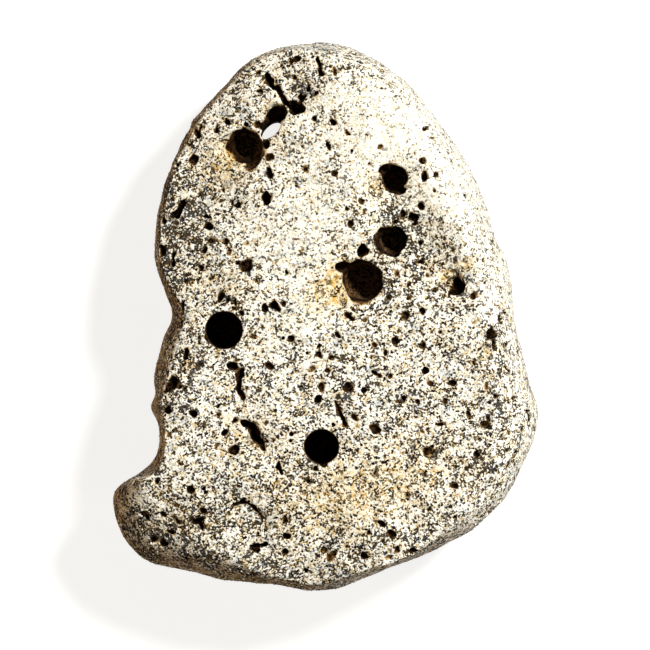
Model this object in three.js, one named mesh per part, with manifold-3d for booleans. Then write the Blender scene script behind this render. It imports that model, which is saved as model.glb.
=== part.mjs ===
// A hag stone: a flat beach pebble of sandy rock, bored by sea life, with one hole right through it.
// It lies on its back. The face that shows best looks up (+Z), its length runs along Y.
// Millimetres, origin on the surface that it rests on, under the middle of its outline.
import * as THREE from "three";
import { mergeVertices } from "three/addons/utils/BufferGeometryUtils.js";
import Module from "manifold-3d";

// Driving dimensions.
const WIDEST = 10; // height of the widest line of the stone above its resting face
const CROWN = 12; // rise of the upper face above the widest line
const BELLY = 10.5; // fall of the underside below the widest line, before the resting face cuts it
const EDGE_BREADTH = 6.5; // how far in from the outline the upper face starts to round off
const BELLY_BREADTH = 18; // the same for the underside
const EDGE_POWER = 2.2; // how square the rounding is: 2 is an ellipse
const LEAN = new THREE.Vector2(0.01, 0.02); // sideways run of a line of sight for each mm down
const BASE_DETAIL = 11; // fineness of the uncut pebble
const RIM_CROWDING = 7; // the smaller, the closer the pebble's points lie along its rim
const RIM_STEPS = 1400;
const BORE_SIDES = 16;
const BORE_FLARE = [[1, 0], [1.15, 0.6], [1.5, 3]]; // width of a bore at heights above its mouth
const BORE_WAIST = 0.4; // where a bore is halfway between its widths, as a share of its depth
const ROUND_END = [0.6, 0.2]; // a point of a bore's round end, in shares of its radius
const CRACK_SIDES = 5;
const CRACK_DEPTH = 1.6; // depth of a crack as a share of its half width
const CRACK_STEPS = 3; // lengths of channel between two named places of a crack
const SPAN = 100; // longer than the stone, for the block that cuts its resting face
const SLOPE_STEP = 0.5; // how far apart heights are read to find the way out of the surface
const SIGHT_PASSES = 6; // steps in which a line of sight is followed to the surface
const WELD = 1e-4; // points nearer than this are one

// Long shallow waves: their rise, then for X and for Y the turn in radians per mm and the start.
const FACE_WAVES = [0.22, 0.55, 0.8, 0.47, -0.5];
const BELLY_WAVES = [0.25, 0.31, 2, 0.27, 1];

// The outline, clockwise from the top, and the point that the whole outline can be seen from.
const HEART = new THREE.Vector2(6, -24);
const SLIDE = new THREE.Vector2(-0.07, 0.32); // from the heart to the middle, as a share of the reach
const OUTLINE = [
  [-1, 37.5], [5, 36.5], [10.4, 33], [15.9, 26.6], [20, 20.2], [22.6, 13.8], [25.2, 7], [26, 0],
  [27.7, -7.2], [29.1, -13], [28, -18.4], [25, -24.4], [20.2, -29.2], [14, -32.5], [6.5, -35.2],
  [-0.6, -37.5], [-6, -37], [-13.6, -36.1], [-18, -35], [-23.7, -33.9], [-26.4, -31.9], [-28.3, -29],
  [-29.1, -25.6], [-28.6, -23.7], [-27, -22.4], [-24.1, -21.1], [-22.9, -19.4], [-22.4, -17.4],
  [-22.5, -15.4], [-22.9, -14.1], [-23.6, -12.5], [-23.1, -10.8], [-23.4, -7.8], [-22.2, -3.2],
  [-20.7, 0.6], [-22.7, 5.2], [-23.4, 9.6], [-22.8, 16.2], [-20.5, 22], [-17.4, 27.7],
  [-12.6, 33.2], [-7.8, 36.4],
];

// Places round the outline where the edge of the upper face is tighter (-) or broader (+), as a share.
const EDGE_SWELLS = [
  { at: [-19, 27], spread: 15, gain: -0.85 },
  { at: [-24, 4], spread: 13, gain: -0.85 },
  { at: [-22, -15], spread: 8, gain: -0.9 },
  { at: [-2, -38], spread: 18, gain: -0.8 },
  { at: [14, -34], spread: 13, gain: -0.45 },
  { at: [-30, -30], spread: 7, gain: 0.4 },
  { at: [-26, -8], spread: 4.5, gain: 0.4 },
  { at: [-26, -21], spread: 4.5, gain: -0.65 },
  { at: [-8, 37], spread: 9, gain: -0.6 },
  { at: [4, 38], spread: 9, gain: -0.3 },
];
const LEAST_SWELL = 0.13; // the edge is never tighter than this share of its breadth

// The bevel that falls to the left of a ridge: a point of the ridge, its direction, and the slope.
const RIDGE = { at: [-6.4, 20], along: [-0.44, -0.9], slope: 0.42, blend: 4 };

// Swells (+) and hollows (-) of the upper face: place, half sizes, turn in degrees, rise.
const FACE_SWELLS = [
  [-3.5, 30.5, 2.6, 2, 0, -1.1],
  [10, 18.5, 4.5, 3.4, 70, -0.9],
  [9, 9.5, 4.6, 3.6, 60, -1.2],
  [3.4, 5.2, 5.2, 4.4, 0, -1.1],
  [14.5, 8, 3, 9, 25, -1.3],
  [18, 4.8, 3, 2.6, 0, -0.7],
  [21, 10, 2.6, 9, 12, 0.7],
  [3, 24, 6, 8, 0, 0.5],
  [-9, -12, 8, 8, 0, 0.4],
  [12, -20, 9, 7, 0, 0.5],
  [-25, -31, 10, 7, 25, -2.8],
  [-9.5, -16, 3, 4, 35, -0.5],
  [-4, -39, 14, 5, 0, -2.5],
];

// Deep bores: place, half width of the mouth, squash across, turn, depth, share of the width left
// at the end, and drift to the side for each mm down.
const BORES = [
  [-13.85, -1.8, 2.6, 1, 0, 13, 0.92, [0, 0]],
  [-0.5, -17.75, 2.42, 1, 0, 13.5, 0.92, [0, 0]],
  [-11.3, 23.3, 2.7, 1, 0, 5.5, 0.5, [0.12, 0.1]],
  [5, 4.9, 2.95, 1, 0, 6.5, 0.7, [0.06, 0.02]],
  [9.4, 18.8, 2.05, 0.92, 40, 5.5, 0.65, [0.06, 0]],
  [9.1, 10.4, 2.05, 1, 0, 5, 0.7, [0.04, 0]],
  [-6.7, 28, 1.55, 0.9, 60, 5, 0.7, [-0.03, -0.1]],
];

// The oval hole right through the stone, along the line of sight: place, half sizes, turn.
const THROUGH_HOLE = [-7.4, 25.75, 1.7, 0.88, 42];

// Bowls that open or join the bores: place, half width, half length, turn, depth.
const MOUTHS = [
  [-12.7, 22.9, 2.1, 2, 0, 2.6],
  [2.5, 6.7, 1.3, 0.95, 20, 2.2],
  [1.9, 4, 2.2, 1.3, 70, 1.4],
  [5.2, 9, 0.8, 0.8, 0, 2.4],
  [8.4, 19.9, 0.9, 0.8, 0, 2],
  [10.4, 17.6, 0.9, 0.8, 0, 2.2],
  [7.2, 17.8, 1.2, 1.4, 20, 0.8],
  [9.3, 8.9, 1, 0.8, 0, 2],
  [7.9, 11.4, 0.9, 0.8, 0, 1.6],
  [-7.3, 27, 1.2, 1.3, 0, 2.6],
  [-8, 26.5, 1.3, 0.6, 50, 3],
  [-8.1, 24, 0.7, 0.9, 15, 1.8],
  [0, -19.7, 0.7, 0.6, 0, 1.5],
];

// Lesser pits of the upper face: place, half width, half length, turn, depth.
const PITS = [
  [-3.9, 28.5, 1.1, 0.9, 20, 2.4],
  [-8, 16.3, 1, 0.9, 0, 2.4],
  [-18, 21.7, 0.8, 0.7, 0, 0.7],
  [-19.8, 14.9, 0.55, 1.5, -23, 1],
  [-11.9, 15.4, 0.75, 0.6, 0, 0.7],
  [1.1, 33.8, 0.4, 0.8, 0, 0.6],
  [13.6, 19.3, 0.5, 0.8, 0, 0.9],
  [5, 15.8, 0.6, 0.5, 0, 0.7],
  [17.8, 4.7, 1.5, 1.7, 30, 1.7],
  [14, 5.7, 0.6, 0.55, 0, 0.8],
  [-10.9, 7.2, 0.9, 0.7, 40, 0.7],
  [-20.9, 8, 0.5, 1.1, 0, 1],
  [-14.4, 2.7, 0.75, 0.65, 0, 1],
  [-6.9, 1.4, 1.05, 0.6, -30, 1.1],
  [-19.1, -4.8, 0.5, 1.1, 0, 1.1],
  [11, 0.1, 0.6, 0.7, 0, 0.6],
  [22.9, -2.2, 0.85, 0.8, 0, 1.2],
  [23.2, -3.7, 0.4, 0.7, 0, 0.7],
  [21.8, -4.8, 1.2, 1, 0, 0.7],
  [9.6, -3.2, 0.6, 0.55, 0, 0.8],
  [-0.8, -5.1, 0.55, 0.5, 0, 0.7],
  [3, -9.6, 0.75, 0.7, 0, 0.7],
  [13.8, -7.4, 0.55, 0.5, 0, 0.7],
  [-12.4, -18, 0.95, 0.65, 10, 1],
  [-14.5, -17.8, 0.8, 0.4, -30, 0.7],
  [14.2, -18.7, 0.9, 1.2, 30, 1.1],
  [13.5, -21.6, 0.7, 0.45, 0, 0.7],
  [17.4, -23, 0.95, 0.42, 0, 0.8],
  [-17, -28.5, 0.6, 1.2, -20, 1.1],
  [-22, -31, 0.8, 0.7, 0, 1],
  [-23.6, -30.6, 0.6, 0.5, 0, 0.8],
  [-8.9, -31.5, 0.8, 0.6, 30, 0.9],
  [-5.5, -32, 0.55, 0.5, 0, 0.8],
  [8.8, -32.9, 0.65, 0.4, 0, 0.7],
  [9.8, -31.7, 0.4, 0.7, 0, 0.7],
  [6.5, -31, 0.6, 0.4, 0, 0.6],
  [-21.2, -9.2, 0.7, 1.4, -40, 1.2],
  [-22.7, -8.2, 0.55, 1.9, 2, 1.1],
  [-21.5, -12.7, 0.55, 0.6, 0, 0.8],
];

// Cracks of the upper face: the places that each runs through, and its half width.
const CRACKS = [
  { half: 0.4, path: [[-7.8, 33.1], [-7.2, 31.6], [-5.6, 29.9], [-3.9, 28.6]] },
  { half: 0.25, path: [[-3.7, 28.9], [-3.3, 29.6], [-2.8, 30.4]] },
  { half: 0.2, path: [[-1.1, 35.4], [-0.7, 34.6], [-0.4, 33.2]] },
  { half: 0.3, path: [[-13.3, -6.5], [-12.2, -6.8], [-11.6, -7.5], [-11.8, -9.6], [-11.3, -11.1]] },
  { half: 0.5, path: [[-12.3, -14.2], [-10.4, -14.6], [-9.6, -16], [-8.3, -18.2]] },
  { half: 0.35, path: [[1.4, -11.5], [1.9, -12.7], [2.4, -13.8], [2.8, -14.9]] },
  { half: 0.25, path: [[-6.7, -18.3], [-6.5, -19.5], [-6, -21.4]] },
];

// Hollows of the underside, hidden while it rests: place, half width, half length, turn, depth.
const BACK_HOLLOWS = [
  [14, 19, 1.9, 1.8, 0, 3.6],
  [17.5, 13.5, 1, 1.2, 30, 1.6],
  [-17, 11, 1.5, 1.4, 0, 3],
  [-14.5, -20, 2.2, 2.1, 0, 3.8],
  [17, -16, 1.7, 1.5, 20, 2.8],
  [13, -25, 1, 1.3, 0, 1.3],
  [-20.5, -26, 1.2, 1, 0, 1.6],
  [4, 29.5, 1.3, 1, 40, 1.8],
  [19.5, 1, 1.1, 0.9, 0, 1.4],
  [-4, -31, 1.4, 1, 10, 1.6],
  [-17.5, -6, 0.9, 1.1, 0, 1.2],
];

const RADIANS = Math.PI / 180;
const wasm = await Module();
wasm.setup();

// A closed geometry as a solid that can be joined and cut.
function solidOf(geometry) {
  const bare = geometry.clone();
  bare.deleteAttribute("normal");
  bare.deleteAttribute("uv");
  const merged = mergeVertices(bare, WELD);
  const corners = merged.index.array;
  const kept = [];
  for (let i = 0; i < corners.length; i += 3) {
    const [a, b, c] = corners.subarray(i, i + 3);
    if (a !== b && b !== c && c !== a) kept.push(a, b, c);
  }
  return new wasm.Manifold(
    new wasm.Mesh({
      numProp: 3,
      vertProperties: merged.attributes.position.array,
      triVerts: new Uint32Array(kept),
    }),
  );
}

const outline = new THREE.CatmullRomCurve3(
  OUTLINE.map(([x, y]) => new THREE.Vector3(x, y, 0)),
  true,
  "catmullrom",
  0.5,
);
outline.arcLengthDivisions = RIM_STEPS;
const rimPoints = outline.getSpacedPoints(RIM_STEPS).slice(1);
const rimStep = outline.getLength() / RIM_STEPS;

// Distance in from the outline: true near the rim, eased towards the middle so that it has no creases.
function insetAt(x, y) {
  let pull = 0;
  for (const rim of rimPoints) pull += rimStep / ((x - rim.x) ** 2 + (y - rim.y) ** 2) ** 2;
  return Math.cbrt(Math.PI / 2 / pull);
}

// A bell that is 1 at its middle and fades over its spread.
const bell = (distance) => Math.exp(-distance * distance);

// The share of its full rise that a face has, so far in from the outline.
function liftAt(x, y, inset, upper) {
  const swell = EDGE_SWELLS.reduce(
    (sum, { at, spread, gain }) => sum + gain * bell(Math.hypot(x - at[0], y - at[1]) / spread),
    1,
  );
  const breadth = upper ? EDGE_BREADTH * Math.max(swell, LEAST_SWELL) : BELLY_BREADTH;
  return Math.sqrt(1 - Math.max(0, 1 - inset / breadth) ** EDGE_POWER);
}

// Places are given as seen along the line of sight. At a height they lie this far to the side.
const seenAt = (x, y, z) =>
  new THREE.Vector2(x - LEAN.x * (z - WIDEST), y - LEAN.y * (z - WIDEST));

const waveAt = (x, y, [rise, turnX, startX, turnY, startY]) =>
  rise * Math.sin(turnX * x + startX) * Math.sin(turnY * y + startY);

// Rise of the upper face above the widest line, before the edge rounds it off.
function crownAt(x, y) {
  const shift = seenAt(0, 0, WIDEST + CROWN);
  const seenX = x - shift.x;
  const seenY = y - shift.y;
  const offRidge = (seenX - RIDGE.at[0]) * RIDGE.along[1] - (seenY - RIDGE.at[1]) * RIDGE.along[0];
  let rise = CROWN - (RIDGE.slope * (offRidge + Math.hypot(offRidge, RIDGE.blend))) / 2;
  for (const [cx, cy, halfX, halfY, turn, gain] of FACE_SWELLS) {
    const away = new THREE.Vector2(seenX - cx, seenY - cy).rotateAround(
      new THREE.Vector2(),
      -turn * RADIANS,
    );
    rise += gain * bell(Math.hypot(away.x / halfX, away.y / halfY));
  }
  return rise + waveAt(x, y, FACE_WAVES);
}

// Fall of the underside below the widest line, before the edge rounds it off.
const bellyAt = (x, y) => BELLY + waveAt(x, y, BELLY_WAVES);

// Height of the upper face, or of the underside, over a place that lies so far in from the outline.
function surfaceAt(x, y, inset, upper) {
  const lift = liftAt(x, y, inset, upper);
  return upper ? WIDEST + lift * crownAt(x, y) : WIDEST - lift * bellyAt(x, y);
}

const heightAt = (x, y, upper) => Math.max(0, surfaceAt(x, y, insetAt(x, y), upper));

// The point of the upper face that is seen at a place.
function facePoint(x, y) {
  let z = WIDEST + CROWN;
  for (let pass = 0; pass < SIGHT_PASSES; pass++) {
    const at = seenAt(x, y, z);
    z = (z + heightAt(at.x, at.y, true)) / 2;
  }
  const at = seenAt(x, y, z);
  return new THREE.Vector3(at.x, at.y, heightAt(at.x, at.y, true));
}

// The way out of the surface at a point of it.
function outwardAt(point, upper) {
  const { x, y } = point;
  const riseX = heightAt(x + SLOPE_STEP, y, upper) - heightAt(x - SLOPE_STEP, y, upper);
  const riseY = heightAt(x, y + SLOPE_STEP, upper) - heightAt(x, y - SLOPE_STEP, upper);
  const out = new THREE.Vector3(-riseX, -riseY, 2 * SLOPE_STEP).normalize();
  return upper ? out : out.negate();
}

// The pebble before anything is cut from it: a ball spread out over its outline.
function pebble() {
  const geometry = new THREE.IcosahedronGeometry(1, BASE_DETAIL);
  const places = geometry.getAttribute("position");
  for (let i = 0; i < places.count; i++) {
    const way = new THREE.Vector3().fromBufferAttribute(places, i).normalize();
    const spread = new THREE.Vector2(way.x, way.y).setLength(Math.sqrt(1 - Math.abs(way.z)));
    spread.addScaledVector(SLIDE, 1 - spread.lengthSq());
    const along = THREE.MathUtils.euclideanModulo(0.25 - spread.angle() / (2 * Math.PI), 1);
    const rim = outline.getPointAt(along);
    const ray = new THREE.Vector2(rim.x, rim.y).sub(HEART);
    const crowding = ray.length() / RIM_CROWDING;
    const reach = Math.min(spread.length(), 1);
    const share = Math.sin((Math.PI / 2) * reach ** (crowding / 2)) ** (2 / crowding);
    const { x, y } = ray.multiplyScalar(share).add(HEART);
    const inset = share < 1 ? insetAt(x, y) : 0;
    places.setXYZ(i, x, y, surfaceAt(x, y, inset, way.z >= 0));
  }
  return solidOf(geometry);
}

// A deep bore that narrows from its mouth to a round end.
function bore(x, y, half, squash, turn, depth, left, drift) {
  const end = left * half;
  const profile = [
    [0, -depth],
    [ROUND_END[0] * end, ROUND_END[1] * end - depth],
    [end, end - depth],
    [(half + end) / 2, -BORE_WAIST * depth],
    ...BORE_FLARE.map(([width, above]) => [width * half, above]),
    [0, BORE_FLARE.at(-1)[1]],
  ].map(([width, along]) => new THREE.Vector2(width, along));
  const way = new THREE.Vector3(-LEAN.x - drift[0], -LEAN.y - drift[1], 1).normalize();
  const geometry = new THREE.LatheGeometry(profile, BORE_SIDES)
    .scale(1, 1, squash)
    .rotateY(turn * RADIANS);
  const stand = new THREE.Quaternion().setFromUnitVectors(new THREE.Vector3(0, 1, 0), way);
  const foot = facePoint(x, y);
  return solidOf(geometry.applyQuaternion(stand).translate(foot.x, foot.y, foot.z));
}

// An oval passage from above the stone to below it, along the line of sight.
function passage(x, y, halfX, halfY, turn) {
  const top = new THREE.Vector3(x, y, WIDEST).addScaledVector(
    new THREE.Vector3(-LEAN.x, -LEAN.y, 1),
    2 * CROWN,
  );
  const reach = 4 * CROWN;
  const geometry = new THREE.CylinderGeometry(1, 1, reach, BORE_SIDES)
    .scale(halfX, 1, halfY)
    .rotateY(turn * RADIANS);
  const way = new THREE.Vector3(-LEAN.x, -LEAN.y, 1).normalize();
  const stand = new THREE.Quaternion().setFromUnitVectors(new THREE.Vector3(0, 1, 0), way);
  const middle = top.addScaledVector(way, -reach / 2);
  return solidOf(geometry.applyQuaternion(stand).translate(middle.x, middle.y, middle.z));
}

// A bowl sunk into the surface at a point, its depth along the way out of the surface.
function bowl(ball, point, out, halfX, halfY, turn, depth) {
  const geometry = ball.clone().scale(halfX, halfY, depth).rotateZ(turn * RADIANS);
  const stand = new THREE.Quaternion().setFromUnitVectors(new THREE.Vector3(0, 0, 1), out);
  return solidOf(geometry.applyQuaternion(stand).translate(point.x, point.y, point.z));
}

const smoothBall = new THREE.IcosahedronGeometry(1, 1);
const roughBall = new THREE.OctahedronGeometry(1, 1);

function faceBowl(ball, [x, y, halfX, halfY, turn, depth]) {
  const point = facePoint(x, y);
  return bowl(ball, point, outwardAt(point, true), halfX, halfY, turn, depth);
}

function backBowl([x, y, halfX, halfY, turn, depth]) {
  const point = new THREE.Vector3(x, y, heightAt(x, y, false));
  return bowl(smoothBall, point, outwardAt(point, false), halfX, halfY, turn, depth);
}

// A crack: a narrow channel along a curve on the upper face.
function crack({ half, path }) {
  const route = new THREE.CatmullRomCurve3(path.map(([x, y]) => facePoint(x, y)));
  const corners = Array.from({ length: CRACK_SIDES }, (_, corner) => {
    const turn = (corner * 2 * Math.PI) / CRACK_SIDES;
    return new THREE.Vector2(CRACK_DEPTH * half * Math.cos(turn), half * Math.sin(turn));
  });
  const steps = CRACK_STEPS * (path.length - 1);
  const settings = { steps, extrudePath: route };
  return solidOf(new THREE.ExtrudeGeometry(new THREE.Shape(corners), settings));
}

function hagStone() {
  const ground = solidOf(new THREE.BoxGeometry(SPAN, SPAN, SPAN).translate(0, 0, -SPAN / 2));
  let stone = pebble().subtract(ground);
  const cutters = [
    ...BORES.map((one) => bore(...one)),
    passage(...THROUGH_HOLE),
    ...MOUTHS.map((one) => faceBowl(smoothBall, one)),
    ...PITS.map((one) => faceBowl(roughBall, one)),
    ...CRACKS.map(crack),
    ...BACK_HOLLOWS.map(backBowl),
  ];
  for (const cutter of cutters) stone = stone.subtract(cutter);
  const made = stone.getMesh();
  const geometry = new THREE.BufferGeometry();
  geometry.setAttribute("position", new THREE.BufferAttribute(made.vertProperties, made.numProp));
  geometry.setIndex(new THREE.BufferAttribute(made.triVerts, 1));
  geometry.computeVertexNormals();
  const material = new THREE.MeshStandardMaterial({
    color: 0xcfc5ae,
    roughness: 0.92,
    metalness: 0,
    flatShading: true,
  });
  const mesh = new THREE.Mesh(geometry, material);
  mesh.name = "hag_stone";
  return mesh;
}

const group = new THREE.Group();
group.add(hagStone());

export default group;
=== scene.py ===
"""A hag stone: a flat beach pebble of coarse sandy rock, bored, pitted, cracked and holed through.

It lies on its back on a pale floor and is seen from above. The stone is carved in a block of space:
a value at each grid point is below 0 in the rock and above 0 outside, and the surface where it is 0
becomes the mesh. Sand grains that stand proud of the surface are scattered over that mesh.
Lengths are in millimetres until the meshes are made. Places on the upper face are given as the
camera sees them: x to the right and y up, in the plane of the stone's widest line.
"""

import math

import bpy
import numpy as np
import openvdb
from mathutils import Matrix, Vector


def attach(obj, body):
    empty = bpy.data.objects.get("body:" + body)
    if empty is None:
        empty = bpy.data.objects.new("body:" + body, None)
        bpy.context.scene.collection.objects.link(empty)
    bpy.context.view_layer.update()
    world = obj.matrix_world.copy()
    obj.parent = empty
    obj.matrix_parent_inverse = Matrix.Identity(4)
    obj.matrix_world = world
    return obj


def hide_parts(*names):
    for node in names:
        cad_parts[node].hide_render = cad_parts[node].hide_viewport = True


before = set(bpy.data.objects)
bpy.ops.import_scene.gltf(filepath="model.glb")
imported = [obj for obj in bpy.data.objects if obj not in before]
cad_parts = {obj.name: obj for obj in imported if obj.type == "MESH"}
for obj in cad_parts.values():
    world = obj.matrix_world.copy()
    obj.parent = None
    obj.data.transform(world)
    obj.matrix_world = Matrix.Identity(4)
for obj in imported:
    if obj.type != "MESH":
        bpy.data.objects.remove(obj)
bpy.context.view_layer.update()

MM = 0.001  # one millimetre in metres

# The uncut pebble, as in the solid part.
WIDEST = 10.0  # height of the widest line above the floor
CROWN = 12.0  # rise of the upper face above it
BELLY = 10.5  # fall of the underside below it, before the resting face cuts it
EDGE_BREADTH = 6.5  # how far in the upper face starts to round off
BELLY_BREADTH = 18.0  # the same for the underside
EDGE_POWER = 2.2  # how square the rounding is: 2 is an ellipse
LEAN = np.array([0.01, 0.02])  # sideways run of the line of sight for each mm down
SIGHT = np.array([-LEAN[0], -LEAN[1], 1.0])  # towards the camera

HEART = np.array([6.0, -24.0])  # the whole outline can be seen from here
OUTLINE = [
    (-1, 37.5), (5, 36.5), (10.4, 33), (15.9, 26.6), (20, 20.2), (22.6, 13.8), (25.2, 7), (26, 0),
    (27.7, -7.2), (29.1, -13), (28, -18.4), (25, -24.4), (20.2, -29.2), (14, -32.5), (6.5, -35.2),
    (-0.6, -37.5), (-6, -37), (-13.6, -36.1), (-18, -35), (-23.7, -33.9), (-26.4, -31.9),
    (-28.3, -29), (-29.1, -25.6), (-28.6, -23.7), (-27, -22.4), (-24.1, -21.1), (-22.9, -19.4),
    (-22.4, -17.4), (-22.5, -15.4), (-22.9, -14.1), (-23.6, -12.5), (-23.1, -10.8), (-23.4, -7.8),
    (-22.2, -3.2), (-20.7, 0.6), (-22.7, 5.2), (-23.4, 9.6), (-22.8, 16.2), (-20.5, 22),
    (-17.4, 27.7), (-12.6, 33.2), (-7.8, 36.4),
]

# Places where the edge of the upper face is tighter (-) or broader (+): place, spread, share.
EDGE_SWELLS = [
    (-19, 27, 15, -0.85), (-24, 4, 13, -0.85), (-22, -15, 8, -0.9), (-2, -38, 18, -0.8),
    (14, -34, 13, -0.45), (-30, -30, 7, 0.4), (-26, -8, 4.5, 0.4), (-26, -21, 4.5, -0.65),
    (-8, 37, 9, -0.6), (4, 38, 9, -0.3),
]
LEAST_SWELL = 0.13  # the edge is never tighter than this share of its breadth

# Long shallow waves: their rise, then for x and for y the turn in radians per mm and the start.
FACE_WAVES = (0.22, 0.55, 0.8, 0.47, -0.5)
BELLY_WAVES = (0.25, 0.31, 2, 0.27, 1)

# The bevel that falls to the left of a ridge: a point of the ridge, its direction, slope and blend.
RIDGE_AT, RIDGE_ALONG, RIDGE_SLOPE, RIDGE_BLEND = (-6.4, 20), (-0.44, -0.9), 0.42, 4

# Swells (+) and hollows (-) of the upper face: place, half sizes, turn in degrees, rise.
FACE_SWELLS = [
    (-3.5, 30.5, 2.6, 2, 0, -1.1), (10, 18.5, 4.5, 3.4, 70, -0.9), (9, 9.5, 4.6, 3.6, 60, -1.2),
    (3.4, 5.2, 5.2, 4.4, 0, -1.1), (14.5, 8, 3, 9, 25, -1.3), (18, 4.8, 3, 2.6, 0, -0.7),
    (21, 10, 2.6, 9, 12, 0.7), (3, 24, 6, 8, 0, 0.5), (-9, -12, 8, 8, 0, 0.4),
    (12, -20, 9, 7, 0, 0.5), (-25, -31, 10, 7, 25, -2.8), (-9.5, -16, 3, 4, 35, -0.5),
    (-4, -39, 14, 5, 0, -2.5),
]

# Areas of the upper face that the sea has worn smooth: place, half sizes, turn, strength.
WORN_AREAS = [
    (9, 26, 9, 8, -20, 1.0), (-3, 12, 6, 9, -10, 0.6), (23, 5, 4, 14, 8, 0.4),
    (17, 17, 6, 5, 0, 0.6), (-2, -1, 5, 5, 0, 0.3), (-14, 30, 6, 5, 0, 0.15),
]

# Rough, porous areas with dark gaps between the grains: place, half sizes, turn, strength.
POROUS_AREAS = [
    (-3.8, 30.4, 1.5, 2, -30, 0.75), (-0.5, 34.3, 1.3, 1.4, 0, 0.3), (-18.5, 14, 3, 9, -8, 0.8),
    (12, 11, 2.2, 8, 20, 0.5), (10.4, 13.9, 2.4, 1.3, -20, 1.0), (18, 4.5, 2, 2, 0, 0.7),
    (8.6, 4.6, 1, 1.4, 0, 0.9), (21, -20, 4, 4, 0, 0.3), (12, -13, 2, 2, 0, 0.5),
    (14.5, -18.8, 1.6, 1.8, 0, 0.7), (12, 10.5, 2, 3, 20, 0.6), (-12, 16, 2.5, 1.5, 0, 0.5),
    (-22, -29, 7, 4, 20, 0.5), (23.5, -14, 2.5, 8, 0, 0.5), (-17.5, -6.6, 1.2, 0.8, 0, 0.8),
    (11, 0.2, 1.4, 1.2, 0, 0.6), (-16, -29, 10, 4, 15, 0.4), (8, -31, 10, 3, 5, 0.4),
    (22.4, -2.5, 2, 4, 0, 0.6), (-11, 6, 3, 2, 0, 0.4), (3, -10, 3, 2, 0, 0.35),
    (-20, -10, 3, 5, 0, 0.5), (-21, 10, 1.8, 12, 4, 0.7), (13, 10, 1.2, 2, 30, 0.5),
    (-6, -35, 8, 1.6, -8, 0.7),
]

# Areas tinted tan and rust by iron: place, half sizes, turn, strength.
STAINED_AREAS = [
    (-12.8, 21.8, 2.8, 3.2, 0, 1.0), (-7, 27.5, 1.5, 3, 20, 0.7), (7, 17.8, 1.8, 2, 0, 0.8),
    (2, 4, 2.4, 3.6, 0, 1.0), (16.8, 5.5, 2.2, 1.8, 0, 0.9), (19.5, 7.3, 1, 0.8, 0, 0.9),
    (-10, -16, 3.5, 3.5, 0, 0.55), (6, -23, 9, 5, 10, 0.6), (14, -20, 4, 4, 0, 0.35),
    (-14, 4.5, 3.5, 2, 0, 0.5), (-1.2, 2.8, 2, 3, 0, 0.5), (-16, 19.5, 2.5, 2, 0, 0.4),
    (0, -27, 7, 5, 0, 0.35), (21.8, -4.8, 1.5, 1.3, 0, 0.8), (-19, -27, 6, 4, 20, 0.35),
]

AREAS_FADE = 5  # height above the widest line over which these areas come in

# Deep bores: place, half width of the mouth, squash, turn, depth, share of the width left at the
# end, drift to the side for each mm down, raggedness.
BORES = [
    (-13.85, -1.8, 2.6, 1, 0, 13, 0.92, (0, 0), 0.1),
    (-0.5, -17.75, 2.42, 1, 0, 13.5, 0.92, (0, 0), 0.25),
    (-11.3, 23.3, 2.7, 1, 0, 5.5, 0.5, (0.12, 0.1), 0.8),
    (5, 4.9, 2.95, 1, 0, 6.5, 0.7, (0.06, 0.02), 0.8),
    (9.4, 18.8, 2.05, 0.92, 40, 5.5, 0.65, (0.06, 0), 0.9),
    (9.1, 10.4, 2.05, 1, 0, 5, 0.7, (0.04, 0), 0.9),
    (-6.7, 28, 1.55, 0.9, 60, 5, 0.7, (-0.03, -0.1), 1.3),
]

# The hole right through, along the line of sight: place, half sizes, turn.
THROUGH_HOLE = (-7.4, 25.75, 1.7, 0.88, 42)

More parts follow.
